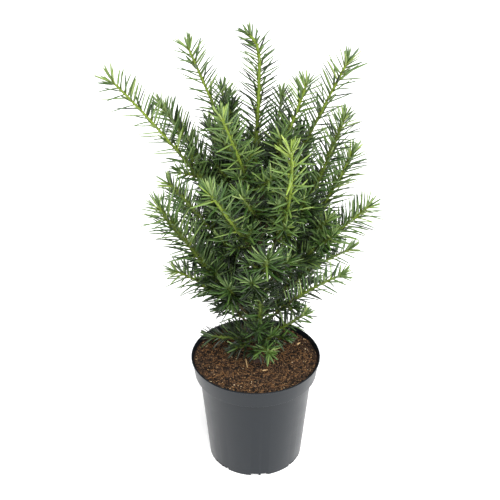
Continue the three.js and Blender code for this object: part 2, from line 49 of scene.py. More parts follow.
UP = np.array([0.0, 0.0, 1.0])
FRONT = np.array([0.0, -1.0, 0.0])
CLEARANCE = 0.3  # between one solid and the next

# --- sizes shared with the solids ---
POT_HEIGHT = 155
POT_RIM_RADIUS = 85
POT_WALL = 1.3
FOOT_RADIUS = 62.5
FOOT_HEIGHT = 4.4
FOOT_RING_INNER = 60.4
FOOT_EDGE = 0.6
PAD_RADIUS = 14
PAD_SLOPE = 2
WALL_TOP_RADIUS = 74.5
COLLAR_HEIGHT = 24.5
COLLAR_RADIUS = 80.6
LIP_HEIGHT = 2
LIP_OVERHANG = 1.3
FOOT_COUNT = 7
FIRST_NOTCH_AZIMUTH = 275
NOTCH_WIDTH = 10.3
NOTCH_DEPTH = 3.4
NOTCH_LENGTH = 14
TOOTH_WIDTH = 2.6
POT_FIT = math.cos(math.pi / 36)  # the flats of the solids' 36-sided pot
DRAIN_RADIUS = 4
DRAIN_CIRCLE = 47
COLLAR_FOOT = POT_HEIGHT - COLLAR_HEIGHT
LIP_FOOT = POT_HEIGHT - LIP_HEIGHT
FLOOR_TOP = FOOT_HEIGHT + POT_WALL

SOIL_LEVEL = 145
SOIL_EDGE_RISE = 4.5
SOIL_FLAT_RADIUS = 16
SOIL_LUMP = 1.1
SOIL_LARGE_PITCH = 31
SOIL_SMALL_PITCH = 14
SOIL_SMALL_SHARE = 0.6

TRUNK_FOOT_RADIUS = 4.6
TRUNK_TIP_RADIUS = 1.9
ROOT_FLARE = 3.6
ROOT_FLARE_HEIGHT = 9
ROOT_RIDGES = 5
ROOT_RIDGE_DEPTH = 0.3
TRUNK_POINTS = [(2.5, 1.5, 0), (4, 1, 75), (5, 0, 170), (2, 0, 225), (0, 0, 255)]
LEADER_POINTS = [
    (0, 0, 255), (0, 0, 318), (2, 0, 365), (3, 0, 400), (3, -1, 427), (-1, -2, 445), (-9, -4, 457),
]

BOUGH_RADIUS = 2.3
BOUGH_ROOT_SHARE = 0.78
BARE_SHARE = 0.22
STEM_RADIUS = 1.35
STEM_TIP_RADIUS = 0.85
TWIG_RADIUS = 1.05
NEEDLE_LIFT = 0.2
AXIS_SAMPLE = 4
RIM_MARGIN = 3
SOIL_MARGIN = 1

TWIG_START = 10
TWIG_SPACING = 38
TWIG_SPACING_LOOSENESS = 0.15
TWIG_ZONE = 0.42
TWIG_SIDE = 78
TWIG_SIDE_LOOSENESS = 14
TWIG_ANGLE = 46
TWIG_SHARE = 0.45
TWIG_SHARE_LOOSENESS = 0.12
TWIG_LONGEST = 62
TWIG_SHORTEST = 24
TWIG_STRAIGHT = 0.5
TWIG_ONWARD = 0.4
TWIG_FORWARD = 0.14
TWIG_UPWARD = 0.06
TWIG_SAMPLES = 6
TWIG_ROOM = 12
ROOT_ROOM = 18

# Azimuth is 0 to the right, 90 to the back, 180 to the left and 270 to the front. The middle of a
# shoot hangs below its straight line by dip, and swings to its own left by swing, as shares of its
# length. Glow is how much of the plant's fresh light green it has, dense is how closely it is set with
# needles, both from 0 to 1, and needle is the length of these.
Shoot = namedtuple("Shoot", "name height azimuth reach rise dip swing glow dense needle bare zone lift",
                   defaults=(BARE_SHARE, TWIG_ZONE, NEEDLE_LIFT))
SHOOTS = [
    Shoot("left_long", 155, 175, 175, 236, -0.07, -0.03, 0.5, 0.1, 31, zone=0.3),
    Shoot("left_second", 165, 155, 134, 178, 0.03, -0.06, 0.36, 1.0, 31),
    Shoot("left_tall", 240, 160, 86, 188, 0.13, -0.09, 0.45, 0.3, 29),
    Shoot("left_middle", 125, 185, 111, 145, 0, 0, 0.38, 0.55, 28),
    Shoot("left_wide", 54, 204, 130, 205, 0.03, 0, 0.38, 1.0, 37, lift=0),
    Shoot("left_low", 40, 194, 106, 114, -0.15, -0.06, 0.42, 0.75, 31, lift=-0.2),
    Shoot("right_tall", 230, 351, 57, 168, 0.02, -0.13, 0.42, 0.5, 30),
    Shoot("right_long", 185, 20, 109, 220, 0.1, 0.11, 0.4, 0.3, 34, zone=0.22),
    Shoot("right_high", 137, 341, 101, 228, 0.19, 0.08, 0.29, 0.85, 32),
    Shoot("right_middle", 94, 19, 121, 192, 0.115, 0, 0.46, 1.0, 34),
    Shoot("right_wide", 116, 2, 135, 115, 0.06, 0.02, 0.45, 1.0, 31),
    Shoot("right_low", 70, 15, 123, 82, -0.12, 0.08, 0.34, 0.35, 25, zone=0),
    Shoot("right_lower", 50, 340, 109, 106, -0.12, 0, 0.32, 0.2, 25, zone=0),
    Shoot("front_tall", 222, 240, 83, 162, 0.08, 0.07, 0.66, 0.25, 29),
    Shoot("front_right", 146, 288, 104, 209, 0.03, 0.13, 0.82, 0.2, 29, zone=0),
    Shoot("front_left", 152, 241, 118, 152, 0.07, 0.07, 0.5, 0.12, 32, zone=0),
    Shoot("front_high", 206, 257, 86, 84, 0.05, 0.05, 0.34, 0.4, 32, zone=0),
    Shoot("front_middle", 134, 274, 112, 90, 0.06, 0, 0.26, 0.45, 33),
    Shoot("front_low", 112, 264, 100, 73, 0.05, 0, 0.14, 0.7, 31),
    Shoot("back_left_tall", 205, 116, 87, 138, 0.15, 0.1, 0.3, 0.4, 28),
    Shoot("back_right_tall", 200, 68, 76, 149, 0.14, 0.02, 0.3, 0.4, 28),
    Shoot("back_left_middle", 145, 123, 119, 154, 0.09, 0.02, 0.2, 0.7, 28),
    Shoot("back_right_middle", 128, 61, 132, 132, 0.1, -0.04, 0.2, 1.0, 28),
    Shoot("back_left_low", 90, 148, 128, 125, 0.06, 0.05, 0.15, 0.8, 28, bare=0),
    Shoot("back_middle", 95, 92, 138, 112, 0.05, 0.04, 0.2, 1.0, 34),
    Shoot("back_high", 170, 92, 108, 98, 0.06, 0, 0.2, 1.0, 34, bare=0),
    Shoot("back_right_low", 62, 42, 116, 62, -0.05, 0, 0.2, 0.8, 28, bare=0, zone=0),
    Shoot("back_low", 48, 112, 104, 62, -0.05, 0, 0.2, 0.8, 28, bare=0, zone=0),
    Shoot("front_foot", 27, 274, 44, 112, 0.11, 0, 0.39, 0.9, 28, bare=0, zone=0),
    Shoot("right_foot", 27, 340, 63, 60, 0, 0.04, 0.36, 0.5, 27, bare=0),
    Shoot("left_foot", 28, 171, 62, 2, -0.08, 0, 0.16, 0.35, 28, bare=0, lift=-0.5),
    Shoot("front_drooping", 22, 287, 47, 21, -0.05, 0, 0.44, 0.6, 25, bare=0, lift=-0.3),
]
FIRST_SEED = 1000
SEED_STEP = 37

# --- what is finer than the solids ---
FINE_TWIG_SEED = 9000
FINE_TWIG_SPACING = 15
FINE_TWIG_ZONE = 0.4
FINE_TWIG_LONGEST = 26
FINE_TWIG_SHARE = 0.5  # the longest that it can be, of what is left of its stem
FINE_TWIG_ROOT_SHARE = 0.6  # how much of it may be near other twigs

# A twig has at least the least density, and needles that are a share of its stem's in length.
TwigKind = namedtuple("TwigKind", "name radius least_dense needle_share shortest room")
SIDE_TWIG = TwigKind("twig", TWIG_RADIUS, 0.5, 0.92, TWIG_SHORTEST, TWIG_ROOM)
FINE_TWIG = TwigKind("fine", 0.9, 0.7, 0.85, 10, 7)

LEADER_GLOW = 0.37
LEADER_DENSE = 0.55
LEADER_NEEDLE = 30

NEEDLE_SEED = 5000
NEEDLE_SPACING = (2.3, 0.92)  # along a stem, on the most sparsely and most densely set shoots
NEEDLE_WIDTH = (3.3, 2.65)  # the same
TWO_RANKS = (0.48, 0.15)  # the same: how far the needles keep to two ranks
UPPER_RANKS = (0.65, 0.25)  # the same: how much denser the upper side of a shoot is
GOLDEN_ANGLE = 137.5  # around a stem, from one needle to the next
NEEDLE_ANGLE = 40  # between a needle's foot and its stem, on the most densely set shoots
SPARSE_ANGLE = 9  # how much wider it is on the most sparsely set
GLOW_ANGLE = 40  # and for each whole of glow past 0.3
NEEDLE_CURL = 0.42  # how far a needle turns away from its stem towards its tip
NEEDLE_THICKNESS = 1.7
TUFT_COUNT = 14  # needles around the bud at a stem's tip
TUFT_LENGTH = 22
BUD_LENGTH = 5

# Six tones from the oldest green to the tufts' lime: the upper face and the paler underside. The first is
# darker than old needles are, as painted shade deep in the crown.
TONES = [
    ("needles_oldest", (20, 36, 9), (36, 52, 24)),
    ("needles_old", (52, 80, 30), (86, 108, 60)),
    ("needles_grown", (80, 107, 47), (114, 135, 82)),
    ("needles_young", (106, 132, 62), (140, 158, 96)),
    ("needles_fresh", (126, 149, 66), (160, 177, 100)),
    ("needles_tuft", (138, 161, 66), (166, 185, 96)),
]
DEEP_TONES = 3
DEEP = ("deep_foliage", (84, 98, 38))  # slot, and colour of the stalks
BRIGHT = ("bright_foliage", (126, 144, 54))

# Stations along a needle: place, half width and half thickness, as shares. The first is down the stem.
STATIONS = np.array([
    (-0.11, 0.35, 0.5),
    (0.02, 0.5, 1.0),
    (0.15, 0.92, 0.9),
    (0.42, 1.0, 1.0),
    (0.74, 0.78, 0.8),
    (0.92, 0.42, 0.5),
])
STALK_STATIONS = 2
CORNERS = 4  # of a needle's section
UPPER, UNDER, STALK = range(3)  # a needle's materials
PIECE_NEEDLES = 4200  # the most in one piece

# The skin of stems and twigs, dark and light, from the oldest.
STEM_SKINS = {
    "stems_brown": ((46, 46, 26), (72, 72, 40)),
    "stems_olive": ((70, 86, 26), (94, 112, 38)),
    "stems_dull": ((82, 98, 42), (106, 124, 58)),
    "stems_green": ((96, 116, 34), (120, 140, 50)),
}
# For each kind of spray: how many times the solids' its stem's radius is, where along it the brown and
# the olive skin end, and how much sooner the more it glows.
Skin = namedtuple("Skin", "thickness brown_end brown_loss olive_end olive_loss")
SKINS = {
    "leader": Skin(1.3, 0.12, 0, 0.5, 0),
    "stem": Skin(1.35, 0.62, 0.8, 0.92, 0.75),
    "twig": Skin(1.2, 0.4, 0, 0.8, 0),
    "fine": Skin(1.1, 0.3, 0, 1, 0),
}
LEAST_BROWN = 0.06
GREEN_GLOW = 0.395  # from here on a long stem ends in green, and others in dull green
GREEN_LENGTH = 100

# Near-black ribs inside the foot: painted shade, standing in for the shadow under the pot that shows
# through the notches.
FOOT_RIBS = [(209, 231), (283.5, 290), (319, 342)]  # azimuths from and to
FOOT_RIB_HEIGHT = 2.2  # and how high its middle is
FOOT_RIB_RADIUS = FOOT_RING_INNER + 1.2

# Relief of the soil's top: pitch, height and slice of each layer of noise.
CRUMB_LAYERS = [(5.5, 0.9, 0.3), (1.9, 0.5, 7.0)]
RIPPLE_SKEW = 0.3
CRUMB_SEED = 700
# Kind of soil bit: name, how many, sizes from and to, stretch, colour.
SOIL_BITS = [
    ("soil_dark_crumbs", 2400, (0.6, 2.3), (1.2, 1.0, 0.8), (24, 17, 12)),
    ("soil_brown_crumbs", 3000, (0.5, 1.9), (1.4, 1.0, 0.7), (66, 49, 36)),
    ("soil_rust_crumbs", 2200, (0.4, 1.2), (1.8, 1.0, 0.6), (118, 88, 60)),
    ("soil_tan_crumbs", 1500, (0.35, 1.0), (2.0, 1.0, 0.5), (156, 124, 86)),
    ("soil_pale_chips", 110, (0.5, 1.4), (2.4, 1.0, 0.4), (206, 184, 148)),
]
BIT_FLATNESS = 0.75
FIBRE_SEED = 800
FIBRE_COUNT = 420
# From, to and thickness of the few sticks on the soil.
SOIL_STICKS = [((-13, 0), (-11, -17), 1.0), ((9, -26), (16, -23), 0.8), ((56, 32), (60, 36), 1.3)]

IMAGE_WIDTH = 500
FOCAL_PIXELS = 1197
CAMERA_DISTANCE = 1500
CAMERA_PITCH = 30.78
CAMERA_SIDE = -7.5
CAMERA_TARGET_HEIGHT = 315.7
FLOOR_SIZE = 60000  # so far that no view shows its edge
FLOOR_DROP = 0.3
FLOOR_GLOW = 0.3
# Name, where it shines from, strength and softness in degrees.
SUNS = [
    ("key", (0.1, -0.8, 1.2), 4.5, 55),
    ("front", (0.0, -1.0, 0.35), 1.0, 70),
    ("fill", (-0.9, -0.3, 0.9), 0.3, 80),
    ("side", (1.0, -0.5, 0.45), 2.9, 80),
]


# --- seeded draws and curves ---
class Draws:
    """The solids' draws: the same numbers in the same order, by the same linear congruence."""

    def __init__(self, seed):
        self.state = seed

    def next(self):
        self.state = (self.state * 1664525 + 1013904223) % 2**32
        return self.state / 2**32

    def spread(self, amount):
        return (self.next() * 2 - 1) * amount


def unit(vectors):
    return vectors / np.linalg.norm(vectors, axis=-1, keepdims=True)


def between(first, last, share):
    return first + (last - first) * share


class Path:
    """A curve held as closely spaced points, and read by shares of its length."""

    SAMPLES = 81
    HEADING_STEP = 0.004

    def __init__(self, points):
        self.points = np.asarray(points, float)
        steps = np.linalg.norm(np.diff(self.points, axis=0), axis=1)
        self.reached = np.concatenate([[0], np.cumsum(steps)])
        self.length = self.reached[-1]

    def at(self, share):
        way = np.asarray(share) * self.length
        return np.stack([np.interp(way, self.reached, self.points[:, k]) for k in range(3)], axis=-1)

    def heading(self, share):
        low = np.clip(np.asarray(share) - self.HEADING_STEP, 0, 1)
        high = np.clip(np.asarray(share) + self.HEADING_STEP, 0, 1)
        return unit(self.at(high) - self.at(low))

    def part(self, start, end):
        return Path(self.at(np.linspace(start, end, self.SAMPLES)))


def bezier(start, bend, tip):
    t = np.linspace(0, 1, Path.SAMPLES)[:, None]
    return Path((1 - t) ** 2 * start + 2 * t * (1 - t) * bend + t**2 * tip)


def smooth_path(corners):
    """A centripetal Catmull-Rom curve through the corners."""
    spots = [np.array(corner, float) for corner in corners]
    spots = [2 * spots[0] - spots[1]] + spots + [2 * spots[-1] - spots[-2]]
    t = np.linspace(0, 1, Path.SAMPLES // 2 + 1)[:, None]
    points = []
    for a, b, c, d in zip(spots, spots[1:], spots[2:], spots[3:]):
        ab, bc, cd = (math.sqrt(np.linalg.norm(q - p)) for p, q in ((a, b), (b, c), (c, d)))
        leave = ((b - a) / ab - (c - a) / (ab + bc) + (c - b) / bc) * bc
        arrive = ((c - b) / bc - (d - b) / (bc + cd) + (d - c) / cd) * bc
        curve = (2 * t**3 - 3 * t**2 + 1) * b + (t**3 - 2 * t**2 + t) * leave
        curve = curve + (3 * t**2 - 2 * t**3) * c + (t**3 - t**2) * arrive
        points.append(curve[:-1])
    points.append(spots[-2][None])
    return Path(np.concatenate(points))


Frames = namedtuple("Frames", "centre along upper across")


def frames_at(path, share, outward):
    """Along the curve, its upper side, which faces the sky or the trunk, and the level way across."""
    along = path.heading(share)
    rising = along[..., 2:3]
    upper = -outward * rising + UP * np.sqrt(np.maximum(0, 1 - rising**2))
    upper = unit(upper - along * np.sum(upper * along, axis=-1, keepdims=True))
    return Frames(path.at(share), along, upper, np.cross(along, upper))


def radial(frames, angle):
    angle = np.asarray(angle)[..., None]
    return frames.upper * np.cos(angle) + frames.across * np.sin(angle)


def smoothstep(value, low, high):
    t = np.clip((value - low) / (high - low), 0, 1)
    return t * t * (3 - 2 * t)


def outward_of(azimuth):
    return np.array([math.cos(azimuth * DEGREE), math.sin(azimuth * DEGREE), 0.0])


# --- how the plant grows, in its own frame, whose zero height is the cut under its trunk ---
TRUNK_PATH = smooth_path(TRUNK_POINTS)
LEADER_PATH = smooth_path(LEADER_POINTS)
TRUNK_HEIGHT = TRUNK_POINTS[-1][2]

# A stem or twig that carries needles, from bare along it, and twigs in the zone. A limb carries none.
Spray = namedtuple("Spray", "path outward radius lift glow dense needle kind bare zone",
                   defaults=("stem", 0, 0))
Limb = namedtuple("Limb", "name path outward radius_at")


def trunk_radius(share, angle):
    height = share * TRUNK_HEIGHT
    taper = between(TRUNK_FOOT_RADIUS, TRUNK_TIP_RADIUS, share)
    flare = ROOT_FLARE * np.exp(-height / ROOT_FLARE_HEIGHT)
    return taper + flare * (1 + ROOT_RIDGE_DEPTH * np.cos(ROOT_RIDGES * angle))


def shoot_path(shoot):
    start = TRUNK_PATH.at(shoot.height / TRUNK_HEIGHT)
    outward = outward_of(shoot.azimuth)
    tip = start + outward * shoot.reach + UP * shoot.rise
    length = np.linalg.norm(tip - start)
    left = np.cross(UP, outward)
    bend = (start + tip) / 2 - UP * shoot.dip * length + left * shoot.swing * length
    return bezier(start, bend, tip)


def add_axis(room, owner):
    """Room is a list of every stem and limb, as points along its middle."""
    count = math.ceil(owner.path.length / AXIS_SAMPLE)
    room.append((owner.path.at(np.linspace(0, 1, count + 1)), owner))


def distance(room, point, apart_from):
    squares = [np.sum((axis - point) ** 2, axis=1) for axis, owner in room if owner is not apart_from]
    return math.sqrt(min(np.min(square) for square in squares))


def pot_inner_radius(height):
    if height < COLLAR_FOOT:
        outside = FOOT_RADIUS + (WALL_TOP_RADIUS - FOOT_RADIUS) * height / COLLAR_FOOT
    else:
        passed = (height - COLLAR_FOOT) / (LIP_FOOT - COLLAR_FOOT)
        outside = between(COLLAR_RADIUS, POT_RIM_RADIUS - LIP_OVERHANG, passed)
    return outside - POT_WALL


SOIL_EDGE = SOIL_LEVEL + SOIL_EDGE_RISE
ROUND_SOIL_RADIUS = pot_inner_radius(SOIL_EDGE) - CLEARANCE
SOLID_SOIL_RADIUS = pot_inner_radius(SOIL_EDGE) * POT_FIT - CLEARANCE


def soil_rise(radius):
    """How high the soil stands above its level middle, without its lumps."""
    share = np.maximum(0, radius - SOIL_FLAT_RADIUS) / (SOLID_SOIL_RADIUS - SOIL_FLAT_RADIUS)
    return SOIL_EDGE_RISE * share**2


def clear_of_pot(points):
    """True where a point is well inside the pot's rim and above the soil, or above the rim."""
    radius = np.hypot(points[..., 0], points[..., 1])
    inside = radius < pot_inner_radius(POT_HEIGHT) - RIM_MARGIN
    highest_lump = SOIL_LUMP * (1 + SOIL_SMALL_SHARE)
    floor = np.where(inside, soil_rise(radius) + highest_lump, POT_HEIGHT - SOIL_LEVEL)
    return points[..., 2] > floor + SOIL_MARGIN


def twig_path(frames, side, size):
    heading = frames.along * math.cos(TWIG_ANGLE * DEGREE)
    heading = heading + radial(frames, side) * math.sin(TWIG_ANGLE * DEGREE)
    bend = frames.centre + heading * TWIG_STRAIGHT * size
    tip = bend + heading * TWIG_ONWARD * size + frames.along * TWIG_FORWARD * size
    return bezier(frames.centre, bend, tip + UP * TWIG_UPWARD * size)


def add_twig(kind, stem, at, side, size, own_share, room, twigs):
    """Grow a twig at a way along the stem, if it is long enough and has room beyond its own share."""
    frames = frames_at(stem.path, at / stem.path.length, stem.outward)
    path = twig_path(frames, side, size)
    if size <= kind.shortest:
        return
    for point in path.at(np.linspace(0, 1, TWIG_SAMPLES + 1)):
        if np.linalg.norm(point - path.points[0]) > own_share:
            if not clear_of_pot(point) or distance(room, point, stem) <= kind.room:
                return
    outward = unit(path.heading(0.0) * np.array([1, 1, 0]))
    dense = max(stem.dense, kind.least_dense)
    needle = kind.needle_share * stem.needle
    twig = Spray(path, outward, kind.radius, stem.lift, stem.glow, dense, needle, kind.name)
    add_axis(room, twig)
    twigs.append(twig)


def side_twigs(stem, draws, room):
    """The side twigs that the solids have too."""
    twigs = []
    length = stem.path.length
    hand = -1 if draws.next() < 0.5 else 1
    at = TWIG_START
    while at < stem.zone * length:
        hand = -hand
        side = hand * (TWIG_SIDE + draws.spread(TWIG_SIDE_LOOSENESS)) * DEGREE
        share = TWIG_SHARE * (1 + draws.spread(TWIG_SHARE_LOOSENESS))
        size = min(TWIG_LONGEST, share * (length - at))
        add_twig(SIDE_TWIG, stem, at, side, size, ROOT_ROOM, room, twigs)
        at += TWIG_SPACING * (1 + draws.spread(TWIG_SPACING_LOOSENESS))
    return twigs


def fine_twigs(stem, draws, room):
    """Short twigs that only the visual plant has, on the older part of a stem or side twig."""
    twigs = []
    length = stem.path.length
    at = 0.5 * FINE_TWIG_SPACING
    turn = draws.next() * 360
    while at < FINE_TWIG_ZONE * length:
        turn += GOLDEN_ANGLE
        size = min(FINE_TWIG_LONGEST, FINE_TWIG_SHARE * (length - at)) * (0.7 + 0.4 * draws.next())
        add_twig(FINE_TWIG, stem, at, turn * DEGREE, size, FINE_TWIG_ROOT_SHARE * size, room, twigs)
        at += FINE_TWIG_SPACING * (0.8 + 0.4 * draws.next())
    return twigs


def grow_bough(shoot, whole):
    """The bare foot of a shoot, which tapers to its stem."""
    here = trunk_radius(shoot.height / TRUNK_HEIGHT, 0)
    root = min(BOUGH_RADIUS, BOUGH_ROOT_SHARE * here)

    def radius_at(share, angle):
        return between(root, STEM_RADIUS, share)

    return Limb(f"bough_{shoot.name}", whole.part(0, shoot.bare), outward_of(shoot.azimuth), radius_at)


def grow_stem(shoot, whole):
    """The leafy part of a shoot. Where it has no bough, its needles start outside the trunk."""
    start = shoot.bare + CLEARANCE / whole.length if shoot.bare > 0 else 0
    bare = 0 if shoot.bare > 0 else 2 * TRUNK_FOOT_RADIUS
    return Spray(whole.part(start, 1), outward_of(shoot.azimuth), STEM_RADIUS, shoot.lift, shoot.glow,
                 shoot.dense, shoot.needle, bare=bare, zone=shoot.zone)


def grow():
    """The trunk, the boughs, and every stem and twig that carries needles."""
    leader = LEADER_PATH.part(CLEARANCE / LEADER_PATH.length, 1)
    stems = [Spray(leader, FRONT, TRUNK_TIP_RADIUS, NEEDLE_LIFT, LEADER_GLOW, LEADER_DENSE,
                   LEADER_NEEDLE, "leader")]
    boughs = []
    for shoot in SHOOTS:
        whole = shoot_path(shoot)
        if shoot.bare > 0:
            boughs.append(grow_bough(shoot, whole))
        stems.append(grow_stem(shoot, whole))
    trunk = Limb("trunk", TRUNK_PATH, FRONT, trunk_radius)
    room = []
    for owner in [trunk] + boughs + stems:
        add_axis(room, owner)
    draws = [Draws(FIRST_SEED + SEED_STEP * index) for index in range(len(stems))]
    twigs = []
    for stem, stem_draws in zip(stems, draws):
        twigs += side_twigs(stem, stem_draws, room)
    fine = []
    for stem, stem_draws in zip(stems[1:], draws[1:]):
        fine += fine_twigs(stem, stem_draws, room)
    for index, twig in enumerate(twigs):
        fine += fine_twigs(twig, Draws(FINE_TWIG_SEED + index), room)
    return trunk, boughs, stems + twigs + fine


# --- meshes ---
# A body is its points and its faces: a list of integer arrays, one for each number of corners.
def make_mesh(name, points, faces, slots=None, smooth=False):
    """A mesh object in metres."""
    mesh = bpy.data.meshes.new(name)
    faces = [face for group in faces for face in np.asarray(group).tolist()]
    mesh.from_pydata(np.asarray(points, np.float32) * MILLIMETRE, [], faces)
    if slots is not None:
        mesh.polygons.foreach_set("material_index", slots)
    mesh.polygons.foreach_set("use_smooth", np.full(len(faces), smooth))
    mesh.update()
    mesh.validate()
    piece = bpy.data.objects.new(name, mesh)
    bpy.context.scene.collection.objects.link(piece)
    return piece


def ring_faces(rings, sides):
    """Quads between rings of points, and triangles from the first and last ring to two end points."""
    ring = np.arange(rings - 1)[:, None] * sides
    side = np.arange(sides)
    beside = (side + 1) % sides
    quads = np.stack([ring + side, ring + beside, ring + sides + beside, ring + sides + side], axis=-1)
    end = rings * sides
    last = end - sides
    low_cap = np.stack([np.full(sides, end), beside, side], axis=-1)
    high_cap = np.stack([np.full(sides, end + 1), last + side, last + beside], axis=-1)
    return [quads.reshape(-1, 4), np.concatenate([low_cap, high_cap])]


def tube(path, outward, radius_at, sides, step, share_range=(0.0, 1.0)):
    """The body of a closed tube. radius_at(share, angle) takes arrays."""
    first, last = share_range
    rings = max(2, math.ceil(path.length * (last - first) / step)) + 1
    share = np.linspace(first, last, rings)
    frames = frames_at(path, share, outward)
    angle = np.linspace(0, 2 * math.pi, sides, endpoint=False)
    directions = (frames.upper[:, None] * np.cos(angle)[None, :, None]
                  + frames.across[:, None] * np.sin(angle)[None, :, None])
    radius = radius_at(share[:, None], angle[None, :]) * np.ones((rings, sides))
    points = frames.centre[:, None] + directions * radius[..., None]
    points = np.concatenate([points.reshape(-1, 3), frames.centre[[0, -1]]])
    return points, ring_faces(rings, sides)


def lathe(profile, segments):
    """A turned body, whose profile of radius and height starts and ends on its axis."""
    radius, height = profile[1:-1].T[..., None]
    angle = np.linspace(0, 2 * math.pi, segments, endpoint=False)
    points = np.stack([radius * np.cos(angle), radius * np.sin(angle), height * np.ones(segments)], axis=-1)
    ends = [[0, 0, profile[0][1]], [0, 0, profile[-1][1]]]
    return np.concatenate([points.reshape(-1, 3), ends]), ring_faces(len(profile) - 2, segments)


def join(parts):
    """Several bodies as one."""
    starts = np.cumsum([0] + [len(points) for points, _ in parts])
    moved = [[group + start for group in faces] for (_, faces), start in zip(parts, starts)]
    return np.concatenate([points for points, _ in parts]), [np.concatenate(same) for same in zip(*moved)]


def planted(body):
    """The body moved from the plant's own frame to its place on the soil."""
    points, faces = body
    return points + UP * (SOIL_LEVEL + CLEARANCE), faces


# --- materials ---
def srgb(red, green, blue):
    """A colour from 0 to 255 as the shader takes it."""
    def channel(value):
        value /= 255
        return value / 12.92 if value <= 0.04045 else ((value + 0.055) / 1.055) ** 2.4
    return (channel(red), channel(green), channel(blue), 1.0)


def shader_of(material):
    return material.node_tree.nodes["Principled BSDF"]


def set_inputs(node, values):
    for name, value in values.items():
        node.inputs[name].default_value = value


def plain_material(name, color, roughness=0.9, specular=0.2):
    material = bpy.data.materials.new(name)
    material.use_nodes = True
    looks = {"Base Color": srgb(*color), "Roughness": roughness, "Specular IOR Level": specular}
    set_inputs(shader_of(material), looks)
    return material


def add_noise(material, scale, detail=6.0, roughness=0.6):
    nodes = material.node_tree.nodes
    place = nodes.new("ShaderNodeTexCoord")
    pattern = nodes.new("ShaderNodeTexNoise")
    set_inputs(pattern, {"Scale": scale, "Detail": detail, "Roughness": roughness})
    material.node_tree.links.new(place.outputs["Object"], pattern.inputs["Vector"])
    return pattern


def add_color_blend(material, pattern, stops):
    """Colours along the pattern's value: stops is a list of (place, colour)."""
    ramp = material.node_tree.nodes.new("ShaderNodeValToRGB")
    elements = ramp.color_ramp.elements
    elements.remove(elements[1])
    for index, (place, color) in enumerate(stops):
        element = elements.new(place) if index > 0 else elements[0]
        element.position = place
        element.color = srgb(*color)
    material.node_tree.links.new(pattern.outputs["Fac"], ramp.inputs["Fac"])
    material.node_tree.links.new(ramp.outputs["Color"], shader_of(material).inputs["Base Color"])


def add_bump(material, pattern, distance):
    bump = material.node_tree.nodes.new("ShaderNodeBump")
    set_inputs(bump, {"Distance": distance * MILLIMETRE, "Strength": 1.0})
    material.node_tree.links.new(pattern.outputs["Fac"], bump.inputs["Height"])
    material.node_tree.links.new(bump.outputs["Normal"], shader_of(material).inputs["Normal"])


def add_range(tree, value, start_range, end_range):
    """The value moved from one range, of two numbers, to the other."""
    spread = tree.nodes.new("ShaderNodeMapRange")
    ends = ("From Min", "From Max", "To Min", "To Max")
    set_inputs(spread, dict(zip(ends, start_range + end_range)))
    tree.links.new(value, spread.inputs["Value"])
    return spread.outputs["Result"]


def dress(piece, materials, slot, *nodes):
    for material in materials:
        piece.data.materials.append(material)
    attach(piece, "root")
    if nodes:
        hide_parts(*nodes)


def add_piece(name, body, material, slot, *nodes, smooth=True):
    dress(make_mesh(name, *body, smooth=smooth), [material], slot, *nodes)


# --- needles ---
def is_stem(spray):
    return spray.kind in ("leader", "stem")


def needle_ways(spray, random):
    """How far along the spray its needles stand: evenly, and then as many as its bud has."""
    length = spray.path.length
    count = int((length - spray.bare) / between(*NEEDLE_SPACING, spray.dense))
    even = (np.arange(count) + random.uniform(-0.3, 0.3, count)) / count
    way = spray.bare + even * (length - spray.bare)
    tips = int(TUFT_COUNT * (1 - 0.5 * spray.dense)) if is_stem(spray) else TUFT_COUNT // 2
    way = np.concatenate([way, random.uniform(length - BUD_LENGTH, length, tips)])
    return np.clip(way, 0, length)


def needle_turns(spray, count, random):
    """Around the spray, drawn to its upper side and to two ranks.

    These are above and below a shoot to the side, and beside one to the front or back.
    """
    turn = (np.arange(count) * GOLDEN_ANGLE + random.uniform(-12, 12, count)) * DEGREE
    if spray.kind == "leader":
        return turn + TWO_RANKS[0] * np.sin(2 * turn)
    sideways = spray.outward[0] ** 2 - spray.outward[1] ** 2
    ranks = between(*TWO_RANKS, spray.dense) * sideways
    return turn - ranks * np.sin(2 * turn) - between(*UPPER_RANKS, spray.dense) * np.sin(turn)


def needle_angles(spray, way, tuft, random):
    """Between the needles' feet and the spray, in degrees, with those around its bud fanned out."""
    sparse_part = SPARSE_ANGLE * (1 - spray.dense)
    glow_part = GLOW_ANGLE * max(spray.glow - 0.3, 0)
    angle = NEEDLE_ANGLE + sparse_part + glow_part + random.normal(0, 3.5, len(way)) - 8 * tuft
    widest = 56 - 22 * max(spray.dense, spray.glow)
    fan = random.uniform(5, widest, len(way))
    return np.where(way > spray.path.length - BUD_LENGTH, fan, angle)


def needle_ends(spray, start, side, tuft, random):
    """Where the needles head at their tips: lifted, and curled away from the spray."""
    count = len(tuft)
    lift = spray.lift * (0.2 if spray.kind == "leader" else 0.8 - 0.5 * spray.dense)
    lift = lift + random.normal(0, 0.07, count)
    curl = NEEDLE_CURL * (1 - 0.6 * tuft) + random.normal(0, 0.08, count)
    return start + UP * lift[:, None] + side * curl[:, None] + random.normal(0, 0.055, (count, 3))


def needle_sizes(spray, share, tuft, random):
    shorter = 0.25 + 0.15 * spray.dense
    size = spray.needle * (1 - shorter * tuft) * random.normal(1, 0.08, len(share))
    if spray.kind == "leader":
        size = size * (1 - 0.2 * smoothstep(share, 0.6, 0.85))
    return size


def needle_tones(spray, share, tuft, root, random):
    """How fresh each needle is: fresher along the spray and at its tip, and less inside the crown, both for
    the older needles there and as painted shade of the dim inner crown.
    """
    along = 0.14 * share * (spray.kind != "fine")
    # Darker tones near the trunk: partly older needles, partly painted shade of the inner crown.
    shade_and_age_inside = 0.1 * smoothstep(np.hypot(root[:, 0], root[:, 1]), 100, 20)
    at_tip = 0.3 * spray.glow * tuft * is_stem(spray)
    return 0.54 * spray.glow + along - shade_and_age_inside + at_tip + random.normal(0, 0.14, len(share))


